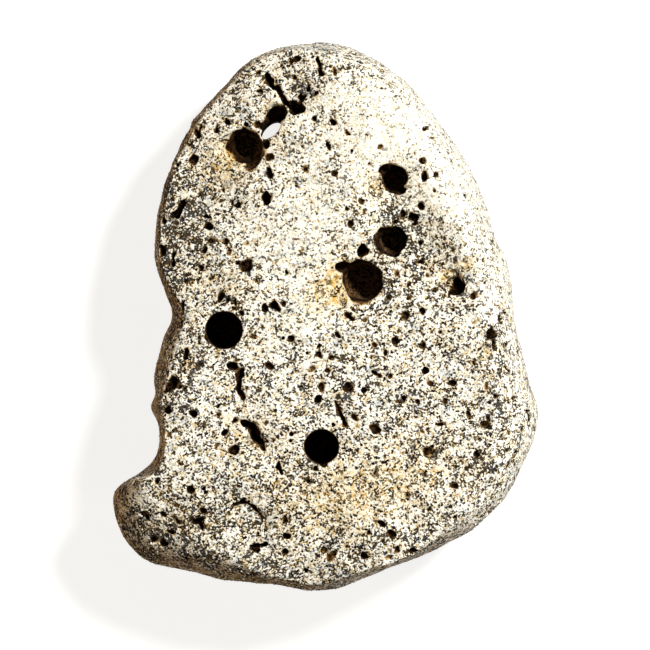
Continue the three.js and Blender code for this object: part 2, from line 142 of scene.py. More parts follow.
# Pits and mouths: place, half sizes, turn, depth.
PITS = [
    # Round the bores and the hole.
    (-11.2, 25, 1.4, 0.9, 10, 1.6), (-12.7, 22.9, 2.1, 2, 0, 2.6), (2.5, 6.7, 1.3, 0.95, 20, 2.2),
    (1.9, 4, 2.2, 1.3, 70, 1.4), (5.2, 9, 0.8, 0.8, 0, 2.4), (8.4, 19.9, 0.9, 0.8, 0, 2),
    (10.4, 17.6, 0.9, 0.8, 0, 2.2), (7, 17.8, 1.2, 1.4, 20, 0.7), (9.3, 8.9, 1, 0.8, 0, 2),
    (7.9, 11.4, 0.9, 0.8, 0, 1.6), (-7.3, 27, 1.2, 1.5, 0, 2.6), (-8, 26.6, 1.3, 0.6, 50, 3),
    (-8.1, 23.9, 0.7, 1, 15, 1.8), (0, -19.9, 0.6, 0.7, 0, 1.5),
    # Top left.
    (-3.9, 28.5, 1.1, 0.9, 20, 2.4), (-3.4, 30.2, 0.35, 0.5, 20, 0.5),
    (-8, 16.3, 1.05, 0.95, 0, 2.8), (-12, 28.5, 0.5, 0.5, 0, 0.3), (-9.4, 26.5, 0.4, 0.4, 0, 0.5),
    (-0.9, 35, 0.4, 0.4, 0, 0.5), (-0.6, 33.8, 0.3, 1.1, -12, 0.5), (-3.9, 35.4, 0.5, 0.5, 0, 0.7),
    (-4.7, 35.2, 0.3, 0.3, 0, 0.4), (-18, 21.7, 0.8, 0.7, 0, 0.9),
    (-19.8, 14.9, 0.5, 1.5, -23, 1.4), (-11.9, 15.4, 0.65, 0.55, 0, 0.8),
    (-12.7, 15.8, 0.4, 0.4, 0, 0.5), (-7.7, 22, 0.4, 0.4, 0, 0.5), (-0.6, 24.8, 0.3, 0.3, 0, 0.4),
    (-2.8, 20.5, 0.7, 0.6, 0, 0.35),
    # Top right.
    (0.5, 36.3, 0.4, 0.4, 0, 0.5), (1.2, 33.8, 0.3, 0.7, 0, 0.6), (0.6, 34.4, 0.3, 0.3, 0, 0.4),
    (3.1, 33.9, 0.3, 0.3, 0, 0.4), (4.1, 33.3, 0.3, 0.3, 0, 0.4), (7.7, 34, 0.4, 0.4, 0, 0.4),
    (10.5, 30.2, 0.3, 0.3, 0, 0.4), (13.6, 25.6, 0.5, 0.4, 0, 0.4), (13, 23.7, 0.3, 0.3, 0, 0.4),
    (12.2, 22.6, 0.35, 0.6, 0, 0.6), (13.5, 21.3, 0.4, 0.25, 0, 0.4), (7.7, 23.3, 0.3, 0.3, 0, 0.4),
    (13.6, 19.3, 0.5, 0.9, 0, 1), (15.2, 19.5, 0.3, 0.3, 0, 0.4), (15, 17.2, 0.5, 0.45, 0, 0.5),
    (17, 17.1, 0.35, 0.35, 0, 0.5), (5, 15.8, 0.5, 0.5, 0, 0.7), (13, 15.2, 0.5, 0.5, 0, 0.7),
    (12, 13.6, 0.7, 0.6, 0, 0.9), (9.2, 14.4, 0.35, 0.3, 0, 0.6), (10.6, 14.3, 0.3, 0.45, 30, 0.6),
    (19.3, 14.4, 0.35, 0.35, 0, 0.5),
    # Middle left.
    (-16.6, 9.2, 0.5, 0.5, 0, 0.6), (-15, 10.5, 0.8, 0.3, 0, 0.4), (-13.3, 8.7, 0.6, 0.5, 0, 0.4),
    (-20.9, 8, 0.5, 1.1, 0, 1.1), (-22.5, 9, 0.6, 0.8, 0, 0.8), (-10.9, 7.2, 0.9, 0.7, 40, 0.8),
    (-19.1, 4.9, 0.5, 0.5, 0, 0.7), (-9.3, 4.9, 0.3, 0.3, 0, 0.4), (-1.1, 4.8, 0.6, 0.3, 0, 0.4),
    (-0.8, 3.2, 0.5, 0.5, 0, 0.5), (-3, 9.1, 0.4, 0.4, 0, 0.4), (-19.5, 1.2, 0.4, 1.2, 0, 0.9),
    (-12.3, 1.9, 0.3, 0.6, 0, 0.5), (-14.4, 2.7, 0.75, 0.65, 0, 1.1),
    (-6.9, 1.4, 1.05, 0.6, -30, 1.2), (-10, -2.8, 0.6, 0.4, 0, 0.5), (-8.6, -4.6, 0.3, 0.3, 0, 0.4),
    (-19.1, -4.8, 0.5, 1.1, 0, 1.3), (-0.8, -5.1, 0.5, 0.5, 0, 0.7), (-1.8, -6.9, 0.4, 0.4, 0, 0.5),
    (-0.5, -9.2, 0.3, 1.2, 0, 0.6), (-4.7, -2.9, 0.4, 0.4, 0, 0.5), (-2.5, -4.8, 0.3, 0.3, 0, 0.4),
    (-3.1, -9.3, 0.25, 0.8, -50, 0.5), (-21.2, -9.4, 0.7, 1.4, -40, 1.3),
    (-22.7, -8.2, 0.55, 1.9, 2, 1.1), (-17.5, -6.6, 0.7, 0.5, 0, 0.4),
    # Middle right.
    (3.5, 12.7, 0.5, 0.5, 0, 0.5), (14, 5.7, 0.6, 0.55, 0, 0.9), (13.3, 7.8, 0.3, 0.3, 0, 0.4),
    (10.9, 6.9, 0.3, 0.3, 0, 0.4), (17.5, 9, 0.35, 0.35, 0, 0.5), (16.4, 7.8, 0.25, 0.4, 0, 0.4),
    (19.1, 7.2, 0.5, 0.3, 0, 0.5), (20.3, 7, 0.3, 0.3, 0, 0.4), (12.6, 11.2, 0.4, 0.4, 0, 0.5),
    (12.9, 10.3, 0.4, 0.4, 0, 0.5), (12.2, 12.8, 0.5, 0.4, 0, 0.6), (15.7, 6, 0.4, 0.4, 0, 0.4),
    (17.8, 4.7, 1.5, 1.7, 30, 1.7), (18.3, 4.4, 0.7, 0.8, 0, 1.9), (23.7, 2.5, 0.45, 0.45, 0, 0.5),
    (23.1, 10.5, 0.3, 0.3, 0, 0.4), (20.6, 3.3, 0.35, 0.35, 0, 0.5), (8.5, 2.7, 0.5, 0.4, 0, 0.3),
    (11.4, 2.5, 0.4, 0.4, 0, 0.5), (11, 0.1, 0.65, 0.75, 0, 0.7), (5.4, -0.4, 0.3, 0.3, 0, 0.4),
    (9.6, -3.2, 0.58, 0.55, 0, 0.9), (10.5, -2.6, 0.7, 0.35, 40, 0.5),
    (6.8, -3.8, 0.4, 0.4, 0, 0.5), (8.3, -4.9, 0.35, 0.35, 0, 0.5), (20.3, -0.7, 0.5, 0.3, 0, 0.5),
    (24, -0.4, 0.4, 0.5, 0, 0.6), (22.9, -2.2, 0.85, 0.8, 0, 1.4), (23.2, -3.7, 0.4, 0.8, 0, 0.8),
    (21.8, -4.8, 1.2, 1.05, 0, 0.6), (20.3, -6.2, 0.35, 0.35, 0, 0.5),
    (11.2, -5.1, 0.4, 0.4, 0, 0.5), (13.8, -7.4, 0.5, 0.5, 0, 0.8), (3, -9.6, 0.7, 0.7, 0, 0.8),
    (0.2, -7.3, 0.4, 0.4, 0, 0.5), (10.8, -11.3, 0.35, 0.8, 0, 0.8),
    (12.7, -11.7, 0.4, 0.4, 0, 0.5), (16.4, -11.7, 0.4, 0.4, 0, 0.5),
    (23.3, -10.8, 0.4, 0.4, 0, 0.5), (26, -11, 0.35, 0.35, 0, 0.5), (27.1, -9.6, 0.35, 0.9, 0, 0.5),
    (14.3, -8.9, 0.3, 0.3, 0, 0.4),
    # Lower left.
    (-21.5, -12.7, 0.5, 0.6, 0, 0.9), (-14.5, -13.3, 0.4, 0.4, 0, 0.5),
    (-17.5, -14.6, 0.4, 0.4, 0, 0.5), (-15.5, -15.5, 0.3, 0.3, 0, 0.4),
    (-12.4, -18, 0.95, 0.65, 10, 1.2), (-14.9, -17.6, 0.25, 0.6, 0, 0.5),
    (-14.2, -18.2, 0.6, 0.25, -15, 0.5), (-12, -12.7, 0.4, 0.4, 0, 0.5),
    (-16.3, -23.9, 0.4, 0.35, 0, 0.5), (-12.7, -21.5, 0.3, 0.3, 0, 0.4),
    (-6.9, -22.5, 1, 0.4, 0, 0.4), (-2.5, -22.4, 0.45, 0.45, 0, 0.6),
    (-0.5, -23, 0.6, 0.25, 0, 0.4), (-22.4, -24.4, 0.4, 0.3, 0, 0.4),
    (-17.4, -27.9, 1, 0.45, 20, 1), (-16.9, -28.9, 0.4, 0.8, 15, 1),
    (-20, -28.2, 0.5, 0.35, 0, 0.5), (-5.4, -27.5, 0.4, 0.4, 0, 0.5),
    (-23.5, -30.6, 0.5, 0.5, 0, 0.8), (-22, -31, 0.75, 0.65, 0, 1.1),
    (-9.2, -31.7, 0.5, 0.7, 20, 0.9), (-8.4, -31.1, 0.7, 0.4, 10, 0.8),
    (-5.5, -32, 0.45, 0.45, 0, 0.7), (-5, -29.8, 0.5, 0.5, 0, 0.6),
    (-24.5, -27.4, 0.25, 0.8, 40, 0.5), (-26.2, -22.8, 0.4, 0.4, 0, 0.5),
    # Lower right.
    (3.3, -24.5, 0.4, 0.4, 0, 0.5), (6.3, -24.9, 0.45, 0.45, 0, 0.5), (9.3, -25, 0.3, 0.3, 0, 0.4),
    (14.2, -18.7, 0.9, 1.2, 30, 1.2), (13.4, -21.6, 0.7, 0.45, 0, 0.9),
    (17.4, -23, 0.95, 0.42, 0, 0.9), (20.8, -18.8, 0.5, 0.5, 0, 0.7),
    (15.6, -14.7, 0.7, 0.35, 0, 0.8), (19.6, -13.3, 0.35, 0.6, 0, 0.6),
    (21.8, -14.7, 0.4, 0.4, 0, 0.5), (9.5, -16.6, 0.45, 0.45, 0, 0.7),
    (25, -20.3, 0.4, 0.8, 0, 0.5), (22.7, -22, 0.3, 0.3, 0, 0.4), (5.9, -26.3, 0.8, 0.3, 0, 0.4),
    (5.3, -27.5, 0.5, 0.3, 0, 0.4), (9.9, -28.3, 0.35, 0.5, 0, 0.5), (6.5, -31, 0.55, 0.35, 0, 0.5),
    (8.8, -32.9, 0.6, 0.35, 0, 0.6), (9.8, -31.7, 0.35, 0.65, 0, 0.6),
    (9.2, -29.8, 0.4, 0.4, 0, 0.5), (1, -32.3, 0.6, 0.5, 0, 0.6), (12.8, -28.7, 0.3, 0.3, 0, 0.4),
    (17.8, -27.3, 0.3, 0.3, 0, 0.4), (20.7, -27.4, 0.4, 0.4, 0, 0.5), (2, -21.4, 0.3, 0.3, 0, 0.4),
]

# Cracks: the places that each runs through, with its half width at each.
CRACKS = [
    [(-7.9, 33.2, 0.35), (-7.5, 32.3, 0.5), (-7.1, 31.3, 0.25)],
    [(-6.8, 32.1, 0.2), (-6.4, 31.3, 0.35), (-6, 30.4, 0.35), (-5.5, 29.8, 0.45), (-4.7, 29.2, 0.6),
     (-3.8, 28.5, 0.65)],
    [(-3.7, 28.9, 0.35), (-3.2, 30, 0.1), (-2.6, 30.4, 0.05)],
    [(-1.1, 35.4, 0.12), (-0.7, 34.7, 0.25), (-0.8, 33.8, 0.12), (-0.4, 33.2, 0.2)],
    [(-13.3, -6.5, 0.2), (-12.3, -6.8, 0.3), (-11.6, -7.4, 0.5), (-11.7, -8.6, 0.4),
     (-11.8, -9.8, 0.25), (-11.3, -11.1, 0.12)],
    [(-12.2, -14.2, 0.35), (-11, -14.4, 0.5), (-10, -14.9, 0.6), (-9.6, -15.9, 0.75),
     (-9, -17, 0.85), (-8.3, -18.2, 0.3)],
    [(1.4, -11.5, 0.2), (1.9, -12.7, 0.38), (2.4, -13.8, 0.42), (2.8, -14.9, 0.15)],
    [(-6.6, -18.6, 0.2), (-6.5, -19.5, 0.3), (-6.4, -20.5, 0.28), (-5.9, -21.4, 0.15)],
    [(-12.5, -25.5, 0.05), (-11, -25.3, 0.08), (-9.8, -25.9, 0.1), (-9, -27, 0.08),
     (-8.6, -28, 0.05)],
]

# Hollows of the underside: place, half sizes, turn, depth.
BACK_HOLLOWS = [
    (14, 19, 1.9, 1.8, 0, 3.6), (17.5, 13.5, 1, 1.2, 30, 1.6), (-17, 11, 1.5, 1.4, 0, 3),
    (-14.5, -20, 2.2, 2.1, 0, 3.8), (17, -16, 1.7, 1.5, 20, 2.8), (13, -25, 1, 1.3, 0, 1.3),
    (-20.5, -26, 1.2, 1, 0, 1.6), (4, 29.5, 1.3, 1, 40, 1.8), (19.5, 1, 1.1, 0.9, 0, 1.4),
    (-4, -31, 1.4, 1, 10, 1.6), (-17.5, -6, 0.9, 1.1, 0, 1.2),
]

# Random bumps: their size and their seed.
LUMPS, DENTS, CRUMBS, GRAVEL, GRIT = (4.5, 1), (2.4, 2), (1.3, 3), (0.6, 4), (0.35, 5)

# How high the bumps stand on the skin, and on the walls of what is cut into it.
SKIN_LUMPS, SKIN_DENTS, SKIN_CRUMBS = 0.15, 0.08, 0.04
WALL_CRUMBS, WALL_GRAVEL = 0.07, 0.12
PIT_RAGGEDNESS, PIT_GRIT = 1.1, 0.06  # in pits and cracks: that many times the walls', and grit
WEAR_SMOOTHS = 0.7  # share of the skin's dents and crumbs that full wear takes away
BACK_ROUGHNESS = 0.85  # share of them that the underside has

PIT_NARROWING = 0.03  # how far the wall of a pit stands in from its size
CRACK_WIDENING = 0.04  # how far the wall of a crack stands back from its size

# Small pits scattered over the whole surface.
FINE_PITS, FINE_PITS_SEED = 750, 12
FINE_PIT_LEAST, FINE_PIT_SPREAD = 0.2, 0.24  # the least half width, and what the widest have more

# Near the resting face nothing small is added below these heights.
LOWEST_PIT, LOWEST_GRAIN = 0.15, 0.4

# The block of space that the stone is carved in, and the mesh made of it.
VOXEL = 0.16
BLOCK_LOW = np.array([-30.6, -39.2, -1.2])
BLOCK_HIGH = np.array([30.6, 39.2, 24.4])
DEEPEST, FARTHEST = -9, 3  # the least and the greatest value that the uncut stone has in the block
COARSE = 0.6  # step of the coarse grid for the distance from the outline
OUTLINE_STEPS = 40  # points from one named place of the outline to the next
LOOK_STEP = 0.05  # step of the search for the surface along a line
MOST_TRIANGLES = 196_000

axes = [np.arange(low, high, VOXEL, dtype=np.float32) for low, high in zip(BLOCK_LOW, BLOCK_HIGH)]


def smooth_max(a, b, softness):
    """The larger of two values, with a soft bend where they are nearly the same."""
    near = np.maximum(softness - np.abs(a - b), 0) / softness
    return np.maximum(a, b) + near * near * softness / 4


def bells(x, y, areas):
    """A sum of smooth bumps over the plane: place, half sizes, turn, height."""
    total = np.zeros(np.broadcast(x, y).shape, np.float32)
    for middle_x, middle_y, half_x, half_y, turn, height in areas:
        cos, sin = math.cos(math.radians(turn)), math.sin(math.radians(turn))
        along = ((x - middle_x) * cos + (y - middle_y) * sin) / half_x
        across = ((y - middle_y) * cos - (x - middle_x) * sin) / half_y
        total += height * np.exp(-along * along - across * across)
    return total


def waves(x, y, rise, turn_x, start_x, turn_y, start_y):
    """Long shallow waves over the plane."""
    return rise * np.sin(turn_x * x + start_x) * np.sin(turn_y * y + start_y)


def spline_weights(axis, spacing):
    """How much each value of a row with that spacing counts at each point of an axis."""
    place = (axis - axis[0]) / spacing + 1.5
    first = np.floor(place).astype(int)
    part = place - first
    weights = np.zeros((len(axis), first[-1] + 4), np.float32)
    shares = [
        (1 - part) ** 3 / 6,
        (3 * part**3 - 6 * part**2 + 4) / 6,
        (-3 * part**3 + 3 * part**2 + 3 * part + 1) / 6,
        part**3 / 6,
    ]
    for step, share in enumerate(shares):
        weights[np.arange(len(axis)), first - 1 + step] = share
    return weights


def unevenness(spacing, seed):
    """Smooth random values through the block, with bumps of about that size and a spread of 1."""
    weights = [spline_weights(axis, spacing) for axis in axes]
    chance = np.random.default_rng(seed)
    values = chance.standard_normal([w.shape[1] for w in weights]).astype(np.float32)
    for w in weights:
        values = np.tensordot(values, w, axes=(0, 1))
    return values / values.std()


def outline_points(steps):
    """Points round the outline, on a smooth curve through its named places."""
    ends = np.array(OUTLINE, float)
    share = np.linspace(0, 1, steps, endpoint=False)[:, None]
    before, after, later = (np.roll(ends, shift, axis=0) for shift in (1, -1, -2))
    stretches = []
    for a, b, c, d in zip(before, ends, after, later):
        stretches.append(
            b
            + (c - a) / 2 * share
            + (a - 2.5 * b + 2 * c - d / 2) * share**2
            + (1.5 * (b - c) + (d - a) / 2) * share**3
        )
    return np.concatenate(stretches)


def inset_over(x, y):
    """Distance in from the outline at each place of a grid, below 0 outside it."""
    rim = outline_points(OUTLINE_STEPS)
    step = np.linalg.norm(np.roll(rim, -1, axis=0) - rim, axis=1)
    pull = np.zeros((len(x), len(y)))
    for (rim_x, rim_y), length in zip(rim, step):
        away = (x[:, None] - rim_x) ** 2 + (y[None, :] - rim_y) ** 2 + 1e-4
        pull += length / away**2
    inset = np.cbrt(math.pi / 2 / pull)
    rays = rim - HEART
    turns = np.arctan2(rays[:, 1], rays[:, 0])
    order = np.argsort(turns)
    from_heart_x, from_heart_y = x[:, None] - HEART[0], y[None, :] - HEART[1]
    reach = np.interp(
        np.arctan2(from_heart_y, from_heart_x),
        turns[order],
        np.linalg.norm(rays, axis=1)[order],
        period=2 * math.pi,
    )
    return np.where(np.hypot(from_heart_x, from_heart_y) < reach, inset, -inset)


def resampled(values, x, y):
    """Values on a coarse grid with axes x and y, read at each point of the block's floor plan."""
    rows = np.array([np.interp(axes[1], y, row) for row in values])
    return np.array([np.interp(axes[0], x, column) for column in rows.T]).T.astype(np.float32)


def pebble():
    """The uncut stone, and how much the sea has worn its upper face over the floor plan."""
    coarse_x, coarse_y = (np.arange(axis[0], axis[-1] + COARSE, COARSE) for axis in axes[:2])
    inset = resampled(inset_over(coarse_x, coarse_y), coarse_x, coarse_y)
    x, y = axes[0][:, None], axes[1][None, :]
    seen_x, seen_y = x + LEAN[0] * CROWN, y + LEAN[1] * CROWN
    off = (seen_x - RIDGE_AT[0]) * RIDGE_ALONG[1] - (seen_y - RIDGE_AT[1]) * RIDGE_ALONG[0]
    crown = CROWN - RIDGE_SLOPE * (off + np.hypot(off, RIDGE_BLEND)) / 2
    crown = crown + bells(seen_x, seen_y, FACE_SWELLS)
    crown += waves(x, y, *FACE_WAVES)
    belly = BELLY + waves(x, y, *BELLY_WAVES)
    round_swells = [(*middle, spread, spread, 0, gain) for *middle, spread, gain in EDGE_SWELLS]
    swell = np.maximum(1 + bells(x, y, round_swells), LEAST_SWELL)
    halves = []
    for rise, breadth, side in (
        (crown, EDGE_BREADTH * swell, axes[2] >= WIDEST),
        (belly, np.full_like(swell, BELLY_BREADTH), axes[2] < WIDEST),
    ):
        height = (axes[2][side] - WIDEST)[None, None, :]
        edge = np.maximum(1 - inset / breadth, 0)[:, :, None]
        value = edge**EDGE_POWER + (height / rise[:, :, None]) ** 2 - 1
        steep = np.hypot(
            EDGE_POWER / breadth[:, :, None] * edge ** (EDGE_POWER - 1),
            2 * height / rise[:, :, None] ** 2,
        )
        value = np.clip(value / np.maximum(steep, 0.05), DEEPEST, FARTHEST)
        halves.append(value.astype(np.float32))
    stone = np.concatenate(halves[::-1], axis=2)
    worn = np.clip(bells(seen_x, seen_y, WORN_AREAS), 0, 1)
    return np.maximum(stone, -axes[2][None, None, :]), worn


def read(values, points):
    """Values of the block at points between its grid points."""
    place = (points - BLOCK_LOW) / VOXEL
    place = np.clip(place, 0, np.array(values.shape) - 1.001)
    first = np.floor(place).astype(int)
    part = place - first
    total = 0
    for corner in np.ndindex(2, 2, 2):
        share = np.prod(np.where(corner, part, 1 - part), axis=-1)
        i, j, k = np.moveaxis(first + corner, -1, 0)
        total = total + share * values[i, j, k]
    return total


def outward(stone, points, step=0.5):
    """The way out of the stone at points near its surface."""
    way = np.stack(
        [
            read(stone, points + step * axis) - read(stone, points - step * axis)
            for axis in np.eye(3)
        ],
        axis=-1,
    )
    return way / np.linalg.norm(way, axis=-1, keepdims=True)


def seen_points(stone, places):
    """The points of the surface that are seen at places."""
    heights = np.arange(WIDEST + CROWN + 1.5, 0, -LOOK_STEP)
    flat = np.array(places, float)[:, None, :] - LEAN * (heights - WIDEST)[:, None]
    upright = np.broadcast_to(heights[:, None], flat.shape[:2] + (1,))
    line = np.concatenate([flat, upright], axis=-1)
    first = np.argmax(read(stone, line) < 0, axis=1)
    return line[np.arange(len(line)), first]


def back_points(stone, places):
    """The points of the underside below places."""
    heights = np.arange(0.0, WIDEST, LOOK_STEP)
    line = np.zeros((len(places), len(heights), 3))
    line[..., :2] = np.array(places, float)[:, None, :]
    line[..., 2] = heights
    first = np.argmax(read(stone, line) < 0, axis=1)
    return line[np.arange(len(line)), first]


def window(middle, reach):
    """The part of the block within reach of a point, and how far its grid points are from there."""
    spans = tuple(
        slice(*np.searchsorted(axis, (at - reach, at + reach))) for axis, at in zip(axes, middle)
    )
    offsets = [axis[span] - at for axis, span, at in zip(axes, spans, middle)]
    return spans, np.meshgrid(*offsets, indexing="ij", sparse=True)


def along(offsets, way):
    """How far each offset reaches in a direction."""
    return offsets[0] * way[0] + offsets[1] * way[1] + offsets[2] * way[2]


def sides_of(way, turn=0.0):
    """Two directions square to one and to each other, turned about it by degrees."""
    first = np.cross((0, 1, 0), way)
    first /= np.linalg.norm(first)
    second = np.cross(way, first)
    cos, sin = math.cos(math.radians(turn)), math.sin(math.radians(turn))
    return first * cos + second * sin, second * cos - first * sin


def cut(stone, spans, cutter, softness):
    """Takes away from the stone what a cutter covers, with a softly rounded lip."""
    stone[spans] = smooth_max(stone[spans], -cutter, softness)


def hollow(stone, middle, way, half_x, half_y, turn, depth, ragged, softness):
    """Cuts a bowl with uneven walls, its depth along the way out of the stone."""
    reach = 1.3 * max(half_x, half_y, depth) + 3 * VOXEL
    spans, offsets = window(middle, reach)
    side, other = sides_of(way, turn)
    parts = [
        along(offsets, side) / half_x,
        along(offsets, other) / half_y,
        along(offsets, way) / depth,
    ]
    out = np.sqrt(sum(part * part for part in parts))
    steep = np.sqrt(sum((part / half) ** 2 for part, half in zip(parts, (half_x, half_y, depth))))
    cutter = out * (out - 1) / np.maximum(steep, 1e-3) + ragged[spans]
    cut(stone, spans, cutter, softness)


def bore(stone, foot, half, squash, turn, depth, left, drift, raggedness, ragged):
    """Cuts a deep bore that narrows from its mouth to a round end."""
    way = np.array([-LEAN[0] - drift[0], -LEAN[1] - drift[1], 1.0])
    way /= np.linalg.norm(way)
    middle = foot - way * depth / 2
    spans, offsets = window(middle, depth / 2 + 1.6 * half)
    side, other = sides_of(way, turn)
    level = along(offsets, way) - depth / 2
    stations = [-depth, -0.4 * depth, 0, 0.6, 3]
    widths = [left * half, (1 + left) / 2 * half, half, 1.15 * half, 1.5 * half]
    wide = np.interp(level, stations, widths).astype(np.float32)
    out = np.hypot(along(offsets, side), along(offsets, other) / squash)
    below = np.minimum(level + depth - left * half, 0)
    cutter = np.hypot(out, below) - wide + raggedness * ragged[spans]
    cut(stone, spans, cutter, softness=0.15 + 0.1 * raggedness)


def passage(stone, x, y, half_x, half_y, turn, ragged):
    """Cuts an oval way right through the stone, along the line of sight."""
    above = 1.5
    middle = np.append(np.array([x, y]) - LEAN * above, WIDEST + above)
    spans, offsets = window(middle, WIDEST + CROWN / 2)
    side, other = sides_of(SIGHT / np.linalg.norm(SIGHT), turn)
    parts = [along(offsets, side) / half_x, along(offsets, other) / half_y]
    out = np.hypot(*parts)
    steep = np.hypot(parts[0] / half_x, parts[1] / half_y)
    cutter = out * (out - 1) / np.maximum(steep, 1e-3)
    cut(stone, spans, cutter + 0.15 * ragged[spans], softness=0.25)


def crack(stone, points, ways, halves, ragged):
    """Cuts a narrow channel through points on the surface, deeper than it is wide."""
    for start, end, way, half, next_half in zip(points, points[1:], ways, halves, halves[1:]):
        middle = (start + end) / 2
        run = (end - start).astype(np.float32)
        reach = np.linalg.norm(run) / 2 + 3.5 * max(half, next_half) + 2 * VOXEL
        spans, offsets = window(middle, reach)
        share = np.clip(along(offsets, run) / (run @ run) + 0.5, 0, 1)
        rest = [offset - run[i] * (share - 0.5) for i, offset in enumerate(offsets)]
        deep = along(rest, way)
        flat = np.sqrt(np.maximum(sum(part * part for part in rest) - deep * deep, 0))
        cutter = np.hypot(flat, deep / 3) - (half + (next_half - half) * share)
        cut(stone, spans, cutter + 0.9 * ragged[spans] - CRACK_WIDENING, softness=0.12)


def scattered_pits(stone, uncut, worn, ragged):
    """Cuts small seeded pits all over, fewer and shallower where the stone is worn smooth."""
    chance = np.random.default_rng(FINE_PITS_SEED)
    skin = np.argwhere(np.abs(uncut) < VOXEL / 2)
    chosen = skin[chance.choice(len(skin), FINE_PITS, replace=False)]
    points = BLOCK_LOW + chosen * VOXEL
    ways = outward(uncut, points)
    smooth = np.where(points[:, 2] > WIDEST, worn[chosen[:, 0], chosen[:, 1]], 0.25)
    spread = FINE_PIT_SPREAD * chance.random(len(points)) ** 4 * (1 - 0.45 * smooth)
    halves = FINE_PIT_LEAST + spread
    keep = (chance.random(len(points)) > 0.72 * smooth) & (points[:, 2] > LOWEST_PIT)
    for point, way, half in zip(points[keep], ways[keep], halves[keep]):
        length = half * chance.uniform(1, 2.4)
        depth = half * chance.uniform(1.8, 3.4)
        turn = chance.uniform(0, 180)
        hollow(stone, point, way, half, length, turn, depth, ragged, softness=0.08)


def carve():
    """The stone with all that is cut from it, and the stone before the cuts."""
    stone, worn = pebble()
    crumbs = unevenness(*CRUMBS)
    face_roughness = (1 - WEAR_SMOOTHS * worn)[:, :, None]
    rough = np.where(axes[2] >= WIDEST, face_roughness, BACK_ROUGHNESS).astype(np.float32)
    stone += SKIN_LUMPS * unevenness(*LUMPS) + SKIN_DENTS * unevenness(*DENTS) * rough
    stone = np.maximum(stone, -axes[2][None, None, :])
    uncut = stone.copy()
    stone += SKIN_CRUMBS * rough * crumbs
    ragged = WALL_CRUMBS * crumbs + WALL_GRAVEL * unevenness(*GRAVEL)
    gritty = PIT_RAGGEDNESS * ragged + PIT_GRIT * unevenness(*GRIT)
    feet = seen_points(uncut, [one[:2] for one in BORES])
    for foot, (_, _, *sizes) in zip(feet, BORES):
        bore(stone, foot, *sizes, ragged)
    passage(stone, *THROUGH_HOLE, ragged)
    points = seen_points(uncut, [one[:2] for one in PITS])
    for point, way, (_, _, *sizes) in zip(points, outward(uncut, points), PITS):
        hollow(stone, point, way, *sizes, gritty + PIT_NARROWING, softness=0.12)
    for path in CRACKS:
        points = seen_points(uncut, [one[:2] for one in path])
        crack(stone, points, outward(uncut, points), [one[2] for one in path], gritty)
    points = back_points(uncut, [one[:2] for one in BACK_HOLLOWS])
    for point, way, (_, _, *sizes) in zip(points, outward(uncut, points), BACK_HOLLOWS):
        hollow(stone, point, way, *sizes, ragged, softness=0.5)
    scattered_pits(stone, uncut, worn, gritty)
    return np.maximum(stone, -axes[2][None, None, :]), uncut


def largest_part(points, quads):
    """Points and faces without the small bits that hang loose or lie shut in."""
    label = np.arange(len(points))
    while True:
        least = label[quads].min(axis=1)
        lower = label.copy()
        np.minimum.at(lower, quads.ravel(), np.repeat(least, quads.shape[1]))
        lower = lower[lower]
        if (lower == label).all():
            break
        label = lower
    kept = label == np.bincount(label).argmax()
    number = np.cumsum(kept) - 1
    return points[kept], number[quads[kept[quads[:, 0]]]]


def plain_mesh(points, faces, name):
    """A mesh object from points in metres and faces of equal length."""
    mesh = bpy.data.meshes.new(name)
    mesh.vertices.add(len(points))
    mesh.vertices.foreach_set("co", points.astype(np.float32).ravel())
    mesh.loops.add(faces.size)
    mesh.loops.foreach_set("vertex_index", faces.astype(np.int32).ravel())
    mesh.polygons.add(len(faces))
    starts = np.arange(0, faces.size, faces.shape[1], dtype=np.int32)
    mesh.polygons.foreach_set("loop_start", starts)
    mesh.update(calc_edges=True)
    mesh.validate()
    piece = bpy.data.objects.new(name, mesh)
    bpy.context.scene.collection.objects.link(piece)
    return piece


def settled(piece, name):
    """A plain mesh object of what a piece's modifiers make of it. The piece itself goes."""
    seen = piece.evaluated_get(bpy.context.evaluated_depsgraph_get())
    mesh = bpy.data.meshes.new_from_object(seen)
    mesh.name = name
    result = bpy.data.objects.new(name, mesh)
    bpy.context.scene.collection.objects.link(result)
    bpy.data.objects.remove(piece)
    return result


def set_share(mesh, name, values):
    """Stores a number for each point of a mesh, for its material and for the grains."""
    stored = mesh.attributes.new(name, "FLOAT", "POINT")
    stored.data.foreach_set("value", values.astype(np.float32))


